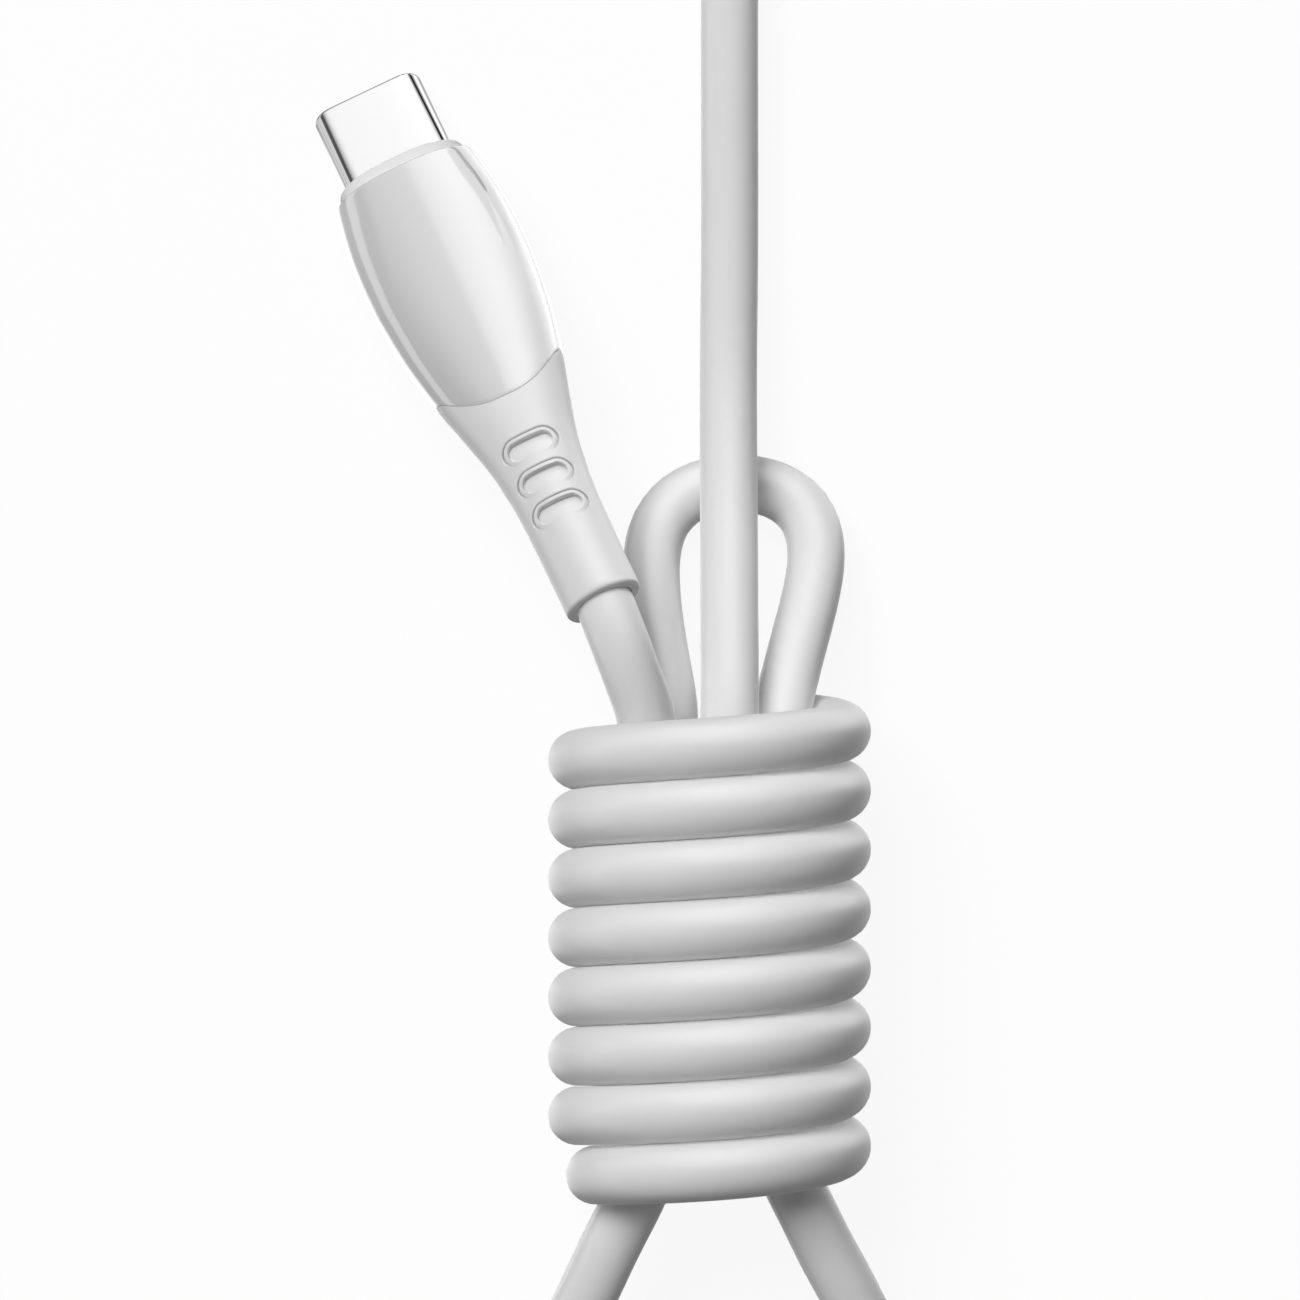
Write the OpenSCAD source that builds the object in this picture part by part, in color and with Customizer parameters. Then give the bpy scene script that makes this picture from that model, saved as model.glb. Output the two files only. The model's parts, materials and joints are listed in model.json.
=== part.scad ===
// Charging cable, USB-C to USB-A, about 1.2 m long, wound eight times round its own bundle.
// Millimetres, +Z up. It lies on a table at z = 0, and the winding's axis runs along Y.

/* [Cord] */
// Diameter of the cord's jacket
cord_d = 4.1; // [3.8:0.1:4.2]
// Diameter of one insulated wire
wire_d = 0.9; // [0.7:0.05:0.9]

/* [Winding] */
// Turns of cord round the bundle
wrap_turns = 8; // [6:1:10]
// Radius of the turns, to the middle of the cord
wrap_r = 9.4; // [9.2:0.1:10.4]
// Width of the larger of the two loops below the winding, to the middle of the cord
loop_w = 52.2; // [48:0.2:58]
// How far that loop reaches below the winding, to the middle of the cord
loop_l = 61.3; // [58:0.1:68]

/* [USB-C plug] */
// Width of the steel shell
c_shell_w = 8.25; // [8.15:0.05:8.35]
// Thickness of the steel shell
c_shell_t = 2.4; // [2.35:0.01:2.45]
// Length of shell that stands out of the collar
c_shell_out = 6.65; // [6.2:0.05:7]
// How far the gloss sleeve's widest place stands out beside the shell
c_sleeve_side = 1.95; // [1.8:0.05:2.2]
// How far the gloss sleeve's thickest place stands out above and below the shell
c_sleeve_over = 2.7; // [2.5:0.05:3]
// Length of the gloss sleeve along the plug's narrow sides
c_sleeve_l = 16.85; // [16:0.05:17.6]
// Length from the shell's mouth to the end of the boot
c_length = 43; // [41:0.5:46]
// Tilt of the plug, mouth down on the table
c_tilt = 21; // [19:0.5:23]
// Turn of the plug away from the winding's axis
c_yaw = 25.4; // [23:0.2:28]

/* [USB-A plug] */
// Width of the steel shell
a_shell_w = 12; // [11.9:0.05:12.1]
// Thickness of the steel shell
a_shell_t = 4.5; // [4.4:0.05:4.6]
// Length of shell that stands out of the collar
a_shell_out = 12; // [11.5:0.1:12.5]
// How far the gloss sleeve's widest place stands out beside the shell
a_sleeve_side = 2; // [1.9:0.05:2.3]
// How far the gloss sleeve's thickest place stands out above and below the shell
a_sleeve_over = 1.75; // [1.7:0.05:2.1]
// Length of the gloss sleeve along the plug's narrow sides
a_sleeve_l = 17.7; // [17.2:0.1:20]
// Length from the shell's mouth to the end of the boot
a_length = 50; // [48.5:0.5:53]

/* [Sleeves and boots] */
// Wall of a gloss sleeve
sleeve_wall = 0.7; // [0.6:0.05:0.8]
// Diameter of a boot where the cord leaves it
boot_end_d = 5.5; // [5.4:0.1:6]
// Distance that the joint of sleeve and boot bows backwards on the plug's broad faces
joint_bow = 2.5; // [2.2:0.1:3]

/* [Hidden] */

$fn = 48;
cord_r = cord_d / 2;
gap = 0.1;            // clearance between two pieces that are pressed or moulded together
eps = 0.01;

// Where the winding and the plugs lie
wrap_x = 0;
wrap_y = -26;
wrap_z = wrap_r + cord_r;
pitch = cord_d + 0.05;
wrap_l = (wrap_turns - 1) * pitch + cord_d + 0.05;
coil_top = wrap_y + wrap_l / 2;
coil_bottom = wrap_y - wrap_l / 2;
c_boot_at = [-7.31, 7.93];   // the boot's end, from the winding's axis and its end face
c_turn = 180 + c_yaw;
c_axis = [-sin(c_turn) * cos(c_tilt), cos(c_turn) * cos(c_tilt), sin(c_tilt)];
c_tip = [wrap_x + c_boot_at[0] - c_length * c_axis[0],
  coil_top + c_boot_at[1] - c_length * c_axis[1], c_shell_t / 2 * cos(c_tilt)];
a_sleeve_t = a_shell_t + 2 * a_sleeve_over;
a_boot_at = [1.5, 65.4];
a_tip = [wrap_x + a_boot_at[0], coil_top + a_boot_at[1] + a_length, a_sleeve_t / 2];

// Lengths inside the plugs, from the shell's mouth
collar_l = 1;
c_front = c_shell_out + collar_l;
c_joint = c_front + c_sleeve_l;
c_sleeve_w = c_shell_w + 2 * c_sleeve_side;
c_sleeve_t = c_shell_t + 2 * c_sleeve_over;
c_shell_l = c_front + 2.85;
wire_room = 5.1;      // bare wire between the board and the joint
c_board_s = c_shell_l - 0.5;
c_board_l = c_joint - wire_room - c_board_s;
c_contact_end = c_shell_l + 0.9;
a_front = a_shell_out + collar_l;
a_joint = a_front + a_sleeve_l;
a_sleeve_w = a_shell_w + 2 * a_sleeve_side;
a_shell_l = a_front + 5.75;
a_shield_l = a_joint - a_shell_l - 4.95;
a_shield_w = a_shell_w - 1.4;
a_contact_end = a_joint - 9.2;
shell_wall = 0.2;
a_wall = 0.3;
a_corner = 0.55;      // outer corner of the USB-A shell

// Pieces on the cord's end, measured from the joint of sleeve and boot at a plug's narrow sides
ferrule_back = joint_bow + gap;
jacket_back = ferrule_back - 0.7;
ferrule_l = 2.7;
ferrule_d = 5.2;
// Slots in a boot: size, lip, and their places measured from its end
slot_l = 3.1;
slot_w = 1.2;
lip_w = 0.35;
lip_h = 0.15;
slot_pitch = 2.5;
last_slot = 7.1;
slots = 3;

// ---- Body of a plug: one skin that the collar, sleeve and boot share ----

sides = 32;
// Place along the sleeve, and share of the largest width there
C_SLEEVE = [[0, 0.868], [0.045, 0.911], [0.115, 0.942], [0.19, 0.969], [0.28, 0.99], [0.4, 1],
  [0.5, 0.997], [0.61, 0.975], [0.76, 0.928], [0.9, 0.859], [1, 0.797]];
A_SLEEVE = [[0, 0.93], [0.03, 0.955], [0.25, 0.99], [0.5, 1], [0.75, 0.97], [1, 0.88]];
// Place along the boot, and how much of the joint's extra size is left there
BOOT = [[0, 1], [0.04, 0.92], [0.1, 0.775], [0.17, 0.617], [0.23, 0.483], [0.3, 0.338],
  [0.36, 0.24], [0.43, 0.162], [0.5, 0.09], [0.62, 0.036], [0.8, 0.008], [1, 0]];

// A plug's body: front, joint, end, width, thickness, squareness and the sleeve's outline
C_BODY = [c_front, c_joint, c_length, c_sleeve_w, c_sleeve_t, 2.5, C_SLEEVE];
A_BODY = [a_front, a_joint, a_length, a_sleeve_w, a_sleeve_t, 4.5, A_SLEEVE];

function along(body, s) = (s - body[0]) / (body[1] - body[0]);
function past(body, s) = (s - body[1]) / (body[2] - body[1]);
// Width (taper 1) or thickness (less taper) at distance s from the mouth
function size_at(body, s, full, taper) = s <= body[1]
  ? full * pow(lookup(along(body, s), body[6]), taper)
  : boot_end_d + (full * pow(lookup(1, body[6]), taper) - boot_end_d)
    * lookup(past(body, s), BOOT);
function square_at(body, s) = s <= body[1] ? body[5]
  : 2 + (body[5] - 2) * lookup(past(body, s), BOOT);
function rounded(v, e) = sign(v) * pow(abs(v), 2 / e);

// The point of the skin at angle a, distance s from the mouth, moved inwards by inset
function skin(body, a, s, inset) = [
  (size_at(body, s, body[3], 1) / 2 - inset) * rounded(cos(a), square_at(body, s)), s,
  (size_at(body, s, body[4], 0.65) / 2 - inset) * rounded(sin(a), square_at(body, s))];
// One ring of the skin, bowed backwards on the broad faces
function ring(body, s, inset = 0, bow = 0) = [for (i = [0:sides - 1])
  let(a = 360 * i / sides) skin(body, a, s + bow * (1 - pow(abs(cos(a)), 2.4)), inset)];

function flat(rings) = [for (r = rings) each r];
function band(j, k, n) = [for (i = [0:n - 1]) let(i2 = (i + 1) % n)
  each [[j * n + i, j * n + i2, k * n + i2], [j * n + i, k * n + i2, k * n + i]]];

// A solid through rings of n points, with a fan at each end
module loft(rings) {
  n = len(rings[0]);
  m = len(rings);
  first = m * n;
  last = m * n + 1;
  ends = [centre(rings[0]), centre(rings[m - 1])];
  polyhedron(points = concat(flat(rings), ends), faces = concat(
    [for (j = [0:m - 2]) each band(j, j + 1, n)],
    [for (i = [0:n - 1]) [first, (i + 1) % n, i]],
    [for (i = [0:n - 1]) [last, (m - 1) * n + i, (m - 1) * n + (i + 1) % n]]));
}
// A wall through rings that close on themselves, such as a sleeve's outside and inside
module closed_wall(rings) {
  n = len(rings[0]);
  m = len(rings);
  polyhedron(points = flat(rings), faces = [for (j = [0:m - 1]) each band(j, (j + 1) % m, n)]);
}
function centre(r) = [for (k = [0:2]) sum([for (p = r) p[k]]) / len(r)];
function sum(v) = v * [for (x = v) 1];

// ---- Small shapes in a plug's own frame: x across, y back from the mouth, z up ----

module stadium(w, t) {
  square([w - t, t], center = true);
  for (side = [-1, 1]) translate([side * (w - t) / 2, 0]) circle(d = t);
}
module stadium_bar(w, t, s, l) translate([0, s + l, 0]) rotate([90, 0, 0])
  linear_extrude(l) stadium(w, t);
module round_bar(w, t, r, s, l) translate([0, s + l, 0]) rotate([90, 0, 0])
  linear_extrude(l) {
    square([w - 2 * r, t], center = true);
    square([w, t - 2 * r], center = true);
    for (x = [-1, 1], y = [-1, 1]) translate([x * (w / 2 - r), y * (t / 2 - r)]) circle(r);
  }
// A bent strip: its underside as places [s, z], from the mouth inwards
module strip(w, under) rotate([90, 0, 90]) translate([0, 0, -w / 2]) linear_extrude(w)
  polygon(concat(under, [for (i = [len(under) - 1:-1:0]) under[i] + [0, strip_t]]));
module block(w, s, l, z, h) translate([-w / 2, s, z]) cube([w, l, h]);
module rod(d, s, l) translate([0, s + l, 0]) rotate([90, 0, 0]) cylinder(d = d, h = l);

module at_c() translate(c_tip) rotate([c_tilt, 0, c_turn]) children();
module at_a() translate(a_tip) rotate([0, 0, 180]) children();

// ---- Cord: a tube with one ring at each point of its route ----

tube_sides = 8;
function unit(v) = v / norm(v);
function heading(route, i, ends) = i == 0 ? ends[0] : i == len(route) - 1 ? ends[1]
  : unit(unit(route[i + 1] - route[i]) + unit(route[i] - route[i - 1]));
function hoop(p, t, r) = let(side = unit(cross(t, [0, 0, 1])), up = cross(side, t))
  [for (i = [0:tube_sides - 1]) let(a = 360 * i / tube_sides)
    p + r * (sin(a) * side + cos(a) * up)];
module tube(route, ends, d) loft([for (i = [0:len(route) - 1])
  hoop(route[i], heading(route, i, ends), d / 2)]);
// Keeps a route's lowest points on the table
function rest(p) = [p[0], p[1], max(p[2], cord_r)];
function from_top(route) = [for (p = route) rest(p + [wrap_x, coil_top, 0])];
// The lower loops widen and lengthen with their two sizes, and stay put at the winding
function from_bottom(route) = [for (p = route) rest([wrap_x, coil_bottom, 0]
  + [p[0] * (1 + (loop_w / 52.2 - 1) * min(1, -p[1] / 30)), p[1] * loop_l / 61.3, p[2]])];
// The place of a point s behind the mouth of the tilted USB-C plug, and its direction
function c_point(s) = c_tip + s * c_axis;
function a_point(s) = a_tip + [0, -s, 0];

// Routes: x from the winding's axis, y from its end face, z above the table
TO_PLUG = [[-6.4, 5.6, 17.2], [-5.5, 3.2, 16.9], [-4.8, 1.3, 15.9], [-4.3, 0, 14.6]];
TOP_LOOP = [[4.9, 0, 10.2], [5.3, 1.2, 9.6], [5.8, 3.3, 8.6], [6.4, 5.4, 7.5], [7, 7.5, 6.3],
  [7.5, 9.6, 5.1], [7.8, 11.8, 4], [7.4, 14, 3], [6.3, 15.5, 2.4], [4.6, 16.4, 2.1],
  [2.1, 16.7, 2.1], [-0.5, 16.4, 2.1], [-2.2, 15.5, 2.3], [-3.5, 14, 2.8], [-4.1, 11.8, 3.7],
  [-4.1, 9.6, 4.7], [-3.95, 7.5, 5.7], [-3.65, 5.4, 6.8], [-3.3, 3.3, 7.8], [-2.7, 0, 9.4]];
LOWER_LOOP_1 = [[-5.3, 0, 13.6], [-6.7, -3.3, 13], [-8.7, -7.7, 11.9], [-14.6, -18, 8.3],
  [-21.8, -28.5, 5.2], [-26.1, -40, 2.6], [-24.3, -48, 2.1], [-18.5, -55.5, 2.1],
  [-10, -60.2, 2.1], [0, -61.3, 2.1], [10, -60.2, 2.1], [18.5, -55.5, 2.1], [24.3, -48, 2.1],
  [26.1, -40, 2.6], [22.6, -28.5, 5.2], [15.9, -18, 8.3], [10.1, -7.7, 11.9],
  [7.7, -3.3, 13], [6.1, 0, 13.6]];
LOWER_LOOP_2 = [[-5.3, 0, 9.2], [-6.7, -3.3, 8.5], [-8.7, -7.7, 7.3], [-13, -17, 4],
  [-17.8, -27.5, 2.2], [-21.3, -38.5, 2.1], [-18.7, -48.5, 2.1], [-11.5, -54.5, 2.1],
  [0, -56.9, 2.1], [11.5, -54.5, 2.1], [18.7, -48.5, 2.1], [21.3, -38.5, 2.1],
  [18.5, -27.5, 2.2], [14.3, -17, 4], [10.1, -7.7, 7.3], [7.7, -3.3, 8.5], [6.1, 0, 9.2]];
TAIL = [[1.4, 0, 13.4], [1.4, 4, 12.3], [1.4, 9, 10.3], [1.4, 13, 8.5], [1.4, 17, 7.1],
  [1.4, 24, 5.4], [1.5, 34, 4.5], [1.5, 46, 4.2]];

// ---- USB-C plug ----

module usb_c_shell() at_c() color("silver") difference() {
  stadium_bar(c_shell_w, c_shell_t, 0, c_shell_l);
  stadium_bar(c_shell_w - 2 * shell_wall, c_shell_t - 2 * shell_wall, -1, c_shell_l + 2);
}

c_in_w = c_shell_w - 2 * shell_wall - gap;
c_in_t = c_shell_t - 2 * shell_wall - gap;
c_row_z = 0.42;       // underside of the upper row of contacts
strip_t = 0.15;
spring_w = 5;

module usb_c_front_insulator() at_c() color("dimgray") difference() {
  stadium_bar(c_in_w, c_in_t, 0.3, 5.6);
  block(6.8, 0, 7, -0.6, 1.2);
  for (up = [0, 1]) mirror([0, 0, up]) block(spring_w + gap, 1.9, 2.4, 0.74, 1);
}

module usb_c_rear_insulator() at_c() color("dimgray") difference() {
  stadium_bar(c_in_w, c_in_t, 6, 3.9);
  for (up = [0, 1]) mirror([0, 0, up]) block(6, 5, 6, c_row_z - 0.03, strip_t + 0.06);
  block(6.7, 5, 6, -0.1, 0.2);
}

contact_pitch = 0.5;
contact_w = 0.28;
// Each contact's tip bends towards the tongue that enters the mouth, and back at its end
module c_contacts(places) for (k = places) translate([(k - 6.5) * contact_pitch, 0, 0])
  strip(contact_w, [[1.2, c_row_z], [1.6, c_row_z], [2.2, c_row_z - 0.12],
    [2.7, c_row_z - 0.12], [4.4, c_row_z], [c_contact_end, c_row_z]]);
module usb_c_upper_contacts() at_c() color("gold") c_contacts([1, 4, 5, 6, 7, 9, 12]);
module usb_c_lower_contacts() at_c() color("gold") mirror([0, 0, 1])
  c_contacts([1, 4, 5, 9, 12]);

module usb_c_latch_plate() at_c() color("silver") {
  block(6.2, 5.2, 4.4, -strip_t / 2, strip_t);
  for (side = [-1, 1]) translate([side * 2.95, 0, 0])
    block(0.3, 1.6, 3.7, -strip_t / 2, strip_t);
}

module c_ground_spring() block(spring_w, 2, 2.2, 0.77, strip_t);
module usb_c_upper_ground_spring() at_c() color("silver") c_ground_spring();
module usb_c_lower_ground_spring() at_c() color("silver") mirror([0, 0, 1]) c_ground_spring();

board_t = 0.8;
module usb_c_circuit_board() at_c() color("green")
  block(7.2, c_board_s, c_board_l, -board_t / 2, board_t);
module usb_c_resistor() at_c() color("black") translate([1.2, 0, 0])
  block(1, c_board_s + 2.6, 0.5, -board_t / 2 - 0.36, 0.35);

// Channel for the wires in a mould
wires_w = 6;
wires_t = 3;
module usb_c_inner_mould() at_c() color("white") difference() {
  inside(C_BODY);
  stadium_bar(c_shell_w + gap, c_shell_t + gap, c_front - 1, c_shell_l + gap - c_front + 1);
  block(7.4, c_front + 1, c_board_s + c_board_l - c_front, -0.6, 1.2);
  block(wires_w, c_front + 4, c_joint - c_front, -wires_t / 2, wires_t);
}

// Collar: a plate in front of the sleeve, a share of its size, round the hole for the shell
module collar(body, share) difference() {
  loft([for (row = [[0, 0.96], [0.25, 1], [collar_l - 0.02, 1]])
    [for (p = ring(body, body[0])) let(k = share * row[1])
      [k * p[0], body[0] - collar_l + row[0], k * p[2]]]]);
  children();
}
module usb_c_collar() at_c() color("lightgray") collar(C_BODY, 0.89)
  stadium_bar(c_shell_w + gap, c_shell_t + gap, c_front - 3, 4);

// Gloss sleeve: outside, then the joint's bowed edge, then the inside back to the front
function sleeve_s(body, u) = body[0] + u * (body[1] - body[0]);
module sleeve(body) closed_wall(concat(
  [for (row = body[6]) if (row[0] < 1) ring(body, sleeve_s(body, row[0]))],
  [ring(body, body[1], 0, joint_bow),
   ring(body, body[1], sleeve_wall, joint_bow)],
  [for (u = [0.85, 0.5, 0.2, 0]) ring(body, sleeve_s(body, u), sleeve_wall)]));
// What fills the sleeve
module inside(body) loft([for (u = [0.01, 0.2, 0.5, 0.85, 0.97])
  ring(body, sleeve_s(body, u), sleeve_wall + 2 * gap)]);
module usb_c_sleeve() at_c() color("white") sleeve(C_BODY);

// Boot: starts at the bowed joint, tapers to a round end, bored for the cord and its ferrule
function boot_s(body, u) = body[1] + u * (body[2] - body[1]);
module at_slots(body) for (up = [0, 1], k = [0:slots - 1]) mirror([0, 0, up])
  translate([0, body[2] - last_slot - k * slot_pitch, cord_r]) children();
module boot(body) difference() {
  union() {
    loft(concat(
      [for (inset = [sleeve_wall, 0.02]) ring(body, body[1] + gap, inset, joint_bow)],
      [for (u = [0.17, 0.23, 0.3, 0.36, 0.43, 0.5, 0.62, 0.8, 1]) ring(body, boot_s(body, u))]));
    intersection() {
      loft([for (u = [0.23, 0.3, 0.36, 0.43, 0.5, 0.62, 0.8]) ring(body, boot_s(body, u), -lip_h)]);
      at_slots(body) linear_extrude(3) stadium(slot_l + 2 * lip_w, slot_w + 2 * lip_w);
    }
  }
  rod(cord_d + gap, body[1] - 1, body[2] - body[1] + 2);
  rod(ferrule_d + gap, body[1] - 1, ferrule_back + ferrule_l + gap + 1);
  at_slots(body) translate([0, 0, 0.3]) linear_extrude(4) stadium(slot_l, slot_w);
}
module usb_c_boot() at_c() color("whitesmoke") boot(C_BODY);

module ferrule(body) difference() {
  rod(ferrule_d, body[1] + ferrule_back, ferrule_l);
  rod(cord_d + gap, body[1] + ferrule_back - 1, ferrule_l + 2);
}
module usb_c_crimp_ferrule() at_c() color("silver") ferrule(C_BODY);

// A wire: from the end of the jacket to its pad or contact, given in the plug's frame
module wire(body, from, place, reach) {
  end = body[1] + jacket_back - gap;
  tube([[from[0], end, from[1]], [from[0], end - 1.6, from[1]],
    [place[0], end - 5.6, place[1]], [place[0], reach, place[1]]],
    [[0, -1, 0], [0, -1, 0]], wire_d);
}
c_wire_z = board_t / 2 + wire_d / 2 + 0.05;
c_wire_end = c_board_s + c_board_l - 2;
core = 0.72;          // distance of a wire from the jacket's middle, across and up
module usb_c_power_wire() at_c() color("red")
  wire(C_BODY, [core, core], [2.4, c_wire_z], c_wire_end);
module usb_c_ground_wire() at_c() color("black")
  wire(C_BODY, [-core, core], [-2.4, c_wire_z], c_wire_end);
module usb_c_data_plus_wire() at_c() color("green")
  wire(C_BODY, [core, -core], [0.8, c_wire_z], c_wire_end);
module usb_c_data_minus_wire() at_c() color("ghostwhite")
  wire(C_BODY, [-core, -core], [-0.8, c_wire_z], c_wire_end);

// ---- USB-A plug ----

a_in_w = a_shell_w - 2 * a_wall;
a_in_t = a_shell_t - 2 * a_wall;
window = 2.4;
window_x = 2.85;
module usb_a_shell() at_a() color("silver") difference() {
  round_bar(a_shell_w, a_shell_t, a_corner, 0, a_shell_l);
  round_bar(a_in_w, a_in_t, a_corner - a_wall, -1, a_shell_l + 2);
  for (side = [-1, 1]) translate([side * window_x, 0, 0])
    block(window, 4, window, -a_shell_t, 2 * a_shell_t);
}

tongue_w = a_in_w - 2 * (a_corner - a_wall);
tongue_z = -a_in_t / 2 + gap;
tongue_t = 1.85;
A_CONTACTS = [[-3.5, 1.6], [-1, 2.6], [1, 2.6], [3.5, 1.6]];
a_contact_w = 1.2;
a_contact_z = tongue_z + tongue_t - 0.3;
module usb_a_tongue() at_a() color("whitesmoke") difference() {
  union() {
    block(tongue_w, 0.6, 17, tongue_z, tongue_t);
    block(tongue_w, 12.4, 5.2, tongue_z, a_in_t - 2 * gap);
  }
  for (c = A_CONTACTS) translate([c[0], 0, 0]) {
    block(a_contact_w + gap, c[1] - 0.05, 11, a_contact_z - 0.03, 1);
    block(a_contact_w + gap, 12, 8, a_contact_z - 0.03, 0.36);
  }
}
module usb_a_contacts() at_a() color("gold") for (c = A_CONTACTS) translate([c[0], 0, 0])
  block(a_contact_w, c[1], a_contact_end - c[1], a_contact_z, 0.3);

module usb_a_rear_shield() at_a() color("silver") difference() {
  block(a_shield_w, a_shell_l + 0.2, a_shield_l, -a_in_t / 2 - 0.25, a_in_t + 0.5);
  block(a_shield_w - 2 * a_wall, a_shell_l - 1, a_shield_l + 3, 0.05 - a_in_t / 2, a_in_t - 0.1);
}

module usb_a_inner_mould() at_a() color("white") difference() {
  inside(A_BODY);
  block(a_shell_w + gap, a_front - 1, a_shell_l - a_front + 1.1, -a_shell_t / 2 - gap / 2,
    a_shell_t + gap);
  block(a_shield_w + gap, a_shell_l - 1, a_shield_l + 1.3, -a_shell_t / 2, a_shell_t);
  block(1.4 * wires_w, a_shell_l, a_joint - a_shell_l + 1, -0.6 * wires_t, 1.2 * wires_t);
}

module usb_a_collar() at_a() color("lightgray") collar(A_BODY, 0.93)
  block(a_shell_w + gap, a_front - 3, 4, -a_shell_t / 2 - gap / 2, a_shell_t + gap);
module usb_a_sleeve() at_a() color("white") sleeve(A_BODY);
module usb_a_boot() at_a() color("whitesmoke") boot(A_BODY);
module usb_a_crimp_ferrule() at_a() color("silver") ferrule(A_BODY);

a_wire_z = a_contact_z + 0.3 + wire_d / 2 + 0.05;
a_wire_end = a_contact_end - 1.8;
module usb_a_power_wire() at_a() color("red")
  wire(A_BODY, [-core, core], [-3.5, a_wire_z], a_wire_end);
module usb_a_ground_wire() at_a() color("black")
  wire(A_BODY, [core, core], [3.5, a_wire_z], a_wire_end);
module usb_a_data_plus_wire() at_a() color("green")
  wire(A_BODY, [core, -core], [1, a_wire_z], a_wire_end);
module usb_a_data_minus_wire() at_a() color("ghostwhite")
  wire(A_BODY, [-core, -core], [-1, a_wire_z], a_wire_end);

// ---- Cord ----

// The wound bundle: its outer shape, one bulge for each turn, flat where the strands enter
module wound_coil() color("whitesmoke") translate([wrap_x, wrap_y, wrap_z])
  rotate([90, 0, 0]) rotate_extrude() {
    first = (wrap_turns - 1) * pitch / 2;
    valley = 0.4 * cord_r;
    translate([0, -wrap_l / 2]) square([wrap_r - valley, wrap_l]);
    translate([0, -first]) square([wrap_r + valley, 2 * first]);
    for (k = [0:wrap_turns - 1]) translate([wrap_r, first - k * pitch]) circle(d = cord_d);
  }

module cord_to_plug() color("whitesmoke") tube(
  concat([c_point(c_joint + jacket_back), c_point(c_length)], from_top(TO_PLUG)),
  [c_axis, [0, -1, 0]], cord_d);
module cord_top_loop() color("whitesmoke")
  tube(from_top(TOP_LOOP), [[0, 1, 0], [0, -1, 0]], cord_d);
module cord_lower_loop_1() color("whitesmoke")
  tube(from_bottom(LOWER_LOOP_1), [[0, -1, 0], [0, 1, 0]], cord_d);
module cord_lower_loop_2() color("whitesmoke")
  tube(from_bottom(LOWER_LOOP_2), [[0, -1, 0], [0, 1, 0]], cord_d);
module cord_tail() color("whitesmoke") tube(
  concat(from_top(TAIL), [a_point(a_length), a_point(a_joint + jacket_back)]),
  [[0, 1, 0], [0, 1, 0]], cord_d);

usb_c_shell();
usb_c_front_insulator();
usb_c_rear_insulator();
usb_c_upper_contacts();
usb_c_lower_contacts();
usb_c_latch_plate();
usb_c_upper_ground_spring();
usb_c_lower_ground_spring();
usb_c_circuit_board();
usb_c_resistor();
usb_c_inner_mould();
usb_c_collar();
usb_c_sleeve();
usb_c_boot();
usb_c_crimp_ferrule();
usb_c_power_wire();
usb_c_ground_wire();
usb_c_data_plus_wire();
usb_c_data_minus_wire();
usb_a_shell();
usb_a_tongue();
usb_a_contacts();
usb_a_rear_shield();
usb_a_inner_mould();
usb_a_collar();
usb_a_sleeve();
usb_a_boot();
usb_a_crimp_ferrule();
usb_a_power_wire();
usb_a_ground_wire();
usb_a_data_plus_wire();
usb_a_data_minus_wire();
wound_coil();
cord_to_plug();
cord_top_loop();
cord_lower_loop_1();
cord_lower_loop_2();
cord_tail();
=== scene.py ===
import json
import math

import bpy
import numpy as np
from bpy.props import FloatProperty, FloatVectorProperty, PointerProperty
from mathutils import Matrix, Vector


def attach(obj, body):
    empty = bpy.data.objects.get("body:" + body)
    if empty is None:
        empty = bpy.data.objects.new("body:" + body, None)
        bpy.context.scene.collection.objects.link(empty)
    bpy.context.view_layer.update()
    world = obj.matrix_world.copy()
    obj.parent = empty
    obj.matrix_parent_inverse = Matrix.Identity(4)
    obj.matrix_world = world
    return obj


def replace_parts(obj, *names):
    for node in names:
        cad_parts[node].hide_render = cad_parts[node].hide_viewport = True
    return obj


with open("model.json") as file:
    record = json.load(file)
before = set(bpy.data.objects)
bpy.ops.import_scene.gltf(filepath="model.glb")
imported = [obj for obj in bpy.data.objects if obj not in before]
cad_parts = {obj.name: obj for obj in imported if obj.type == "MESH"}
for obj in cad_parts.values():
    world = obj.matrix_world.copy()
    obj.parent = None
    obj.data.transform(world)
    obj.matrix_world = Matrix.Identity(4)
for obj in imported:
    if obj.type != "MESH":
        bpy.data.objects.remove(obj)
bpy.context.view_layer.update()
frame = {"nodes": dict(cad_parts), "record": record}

bl_info = {
    "name": "Charging Cable",
    "version": (1, 0, 0),
    "blender": (4, 5, 0),
    "location": "3D View > Sidebar > Cable",
    "description": "Builds a wound charging cable with a USB-C plug and a USB-A plug",
    "category": "Object",
}

MM = 0.001
NODES = frame["nodes"]

# ---- Sizes that a user wouldn't change, in millimetres ----

# Along each plug, from its mouth: front of the sleeve, joint of sleeve and boot, boot's end
USB_C_MARKS = (7.65, 24.5, 43)
USB_A_MARKS = (13, 30.7, 50)
# Where the cord's line passes inside each plug, from its mouth
USB_C_JACKET = (26.1, 30, 36, 43)
USB_A_JACKET = (50, 42, 33.1)

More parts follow.
